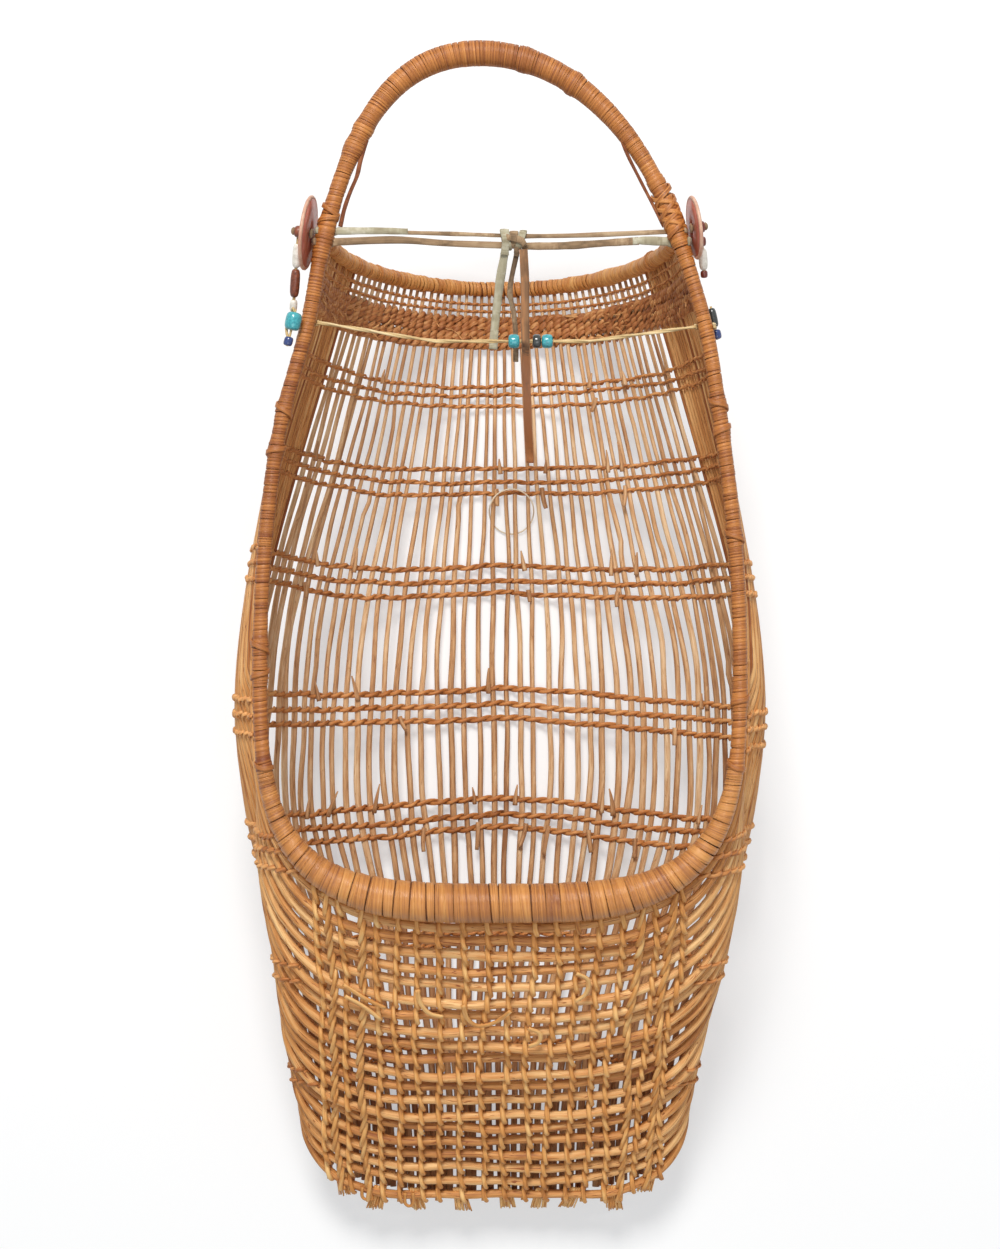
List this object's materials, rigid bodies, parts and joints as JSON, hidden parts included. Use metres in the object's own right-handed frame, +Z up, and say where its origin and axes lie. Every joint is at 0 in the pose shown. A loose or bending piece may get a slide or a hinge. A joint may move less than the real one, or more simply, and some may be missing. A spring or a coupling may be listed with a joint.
{
  "type": "twined cradle basket",
  "caption": "Slipper-shaped openwork twined rod basket lying on its back, with a bound rim, a bent hoop handle, a hide thong tie, strung glass beads and shell discs.",
  "frame": {"origin": "on the floor, below the middle of the box round the basket, which lies on its back", "axes": "+X to the right across the basket as seen from above, +Y along it from the toe to the handle, +Z up out of the open front"},
  "size_m": [0.2838, 0.6185, 0.1913],
  "materials": {
    "rods": "peeled shoots, satin, warm golden tan",
    "weft": "split root, matte, orange tan",
    "binding": "split root wrap, satin, orange tan with fine grain",
    "dark_weft": "split root, matte, reddish brown",
    "hide": "tanned hide, matte",
    "pale_hide": "pale hide, matte",
    "string": "straw coloured plant fibre",
    "turquoise_glass": "opaque glazed bead, turquoise",
    "dark_glass": "opaque glazed bead, black to dark blue",
    "shell": "shell, red brown stain with a pale rim"
  },
  "bodies": {
    "basket": {"rim_hoop": "rods", "handle_binding": "binding", "left_rail_binding": "binding", "right_rail_binding": "binding", "front_bar_binding": "binding", "head_rim": "rods", "head_rim_binding": "binding", "head_open_rows": "weft", "head_band": "dark_weft", "back_rods_left": "rods", "back_rods_right": "rods", "toe_rod_01": "rods", "toe_rod_02": "rods", "toe_rod_03": "rods", "toe_rod_04": "rods", "toe_rod_05": "rods", "toe_rod_06": "rods", "toe_rod_07": "rods", "toe_rod_08": "rods", "toe_rod_09": "rods", "toe_rod_10": "rods", "toe_rod_11": "rods", "toe_rod_12": "rods", "toe_rod_13": "rods", "toe_rod_14": "rods", "toe_rod_15": "rods", "toe_rod_16": "rods", "toe_rod_17": "rods", "toe_rod_18": "rods", "toe_rod_19": "rods", "toe_rod_20": "rods", "weft_band_1": "weft", "weft_band_2": "weft", "weft_band_3": "weft", "weft_band_4": "weft", "weft_band_5": "weft", "toe_weft_band_1": "weft", "toe_weft_band_2": "weft", "toe_columns_plain": "weft", "toe_columns_braided": "weft", "thong_strands": "hide", "thong_knot": "hide", "thong_tail_pale": "pale_hide", "thong_tail_short": "pale_hide", "thong_tail_long": "hide", "bead_string": "string", "left_string_beads": "turquoise_glass", "right_string_beads": "dark_glass", "left_disc_peg": "hide", "right_disc_peg": "hide", "thread_loop": "string"},
    "left_bead": {"bead_turquoise_left": "turquoise_glass"},
    "black_bead": {"bead_black": "dark_glass"},
    "right_bead": {"bead_turquoise_right": "turquoise_glass"},
    "left_disc_body": {"left_disc": "shell"},
    "right_disc_body": {"right_disc": "shell"},
    "left_dangle_body": {"left_dangle": "shell"},
    "right_dangle_body": {"right_dangle": "shell"}
  },
  "joints": [
    {"name": "left_bead_slide", "type": "slide", "parent": "basket", "child": "left_bead", "axis": [1, 0, 0], "range_m": [-0.034, 0]},
    {"name": "right_bead_slide", "type": "slide", "parent": "basket", "child": "right_bead", "axis": [1, 0, 0], "range_m": [0, 0.017]},
    {"name": "black_bead_spin", "type": "hinge", "parent": "basket", "child": "black_bead", "pos_m": [0.0185, 0.1606, 0.16147], "axis": [1, 0, 0], "continuous": true},
    {"name": "left_disc_spin", "type": "hinge", "parent": "basket", "child": "left_disc_body", "pos_m": [-0.09849, 0.2133, 0.17297], "axis": [-0.9853, 0.1472, -0.0872], "continuous": true},
    {"name": "right_disc_spin", "type": "hinge", "parent": "basket", "child": "right_disc_body", "pos_m": [0.09781, 0.2156, 0.17297], "axis": [0.9853, 0.1472, -0.0872], "continuous": true},
    {"name": "left_dangle_swing", "type": "hinge", "parent": "basket", "child": "left_dangle_body", "pos_m": [-0.09849, 0.2133, 0.17297], "axis": [-0.9853, 0.1472, -0.0872], "range_deg": [-68, 15]},
    {"name": "right_dangle_swing", "type": "hinge", "parent": "basket", "child": "right_dangle_body", "pos_m": [0.09781, 0.2156, 0.17297], "axis": [0.9853, 0.1472, -0.0872], "range_deg": [-15, 68]}
  ]
}
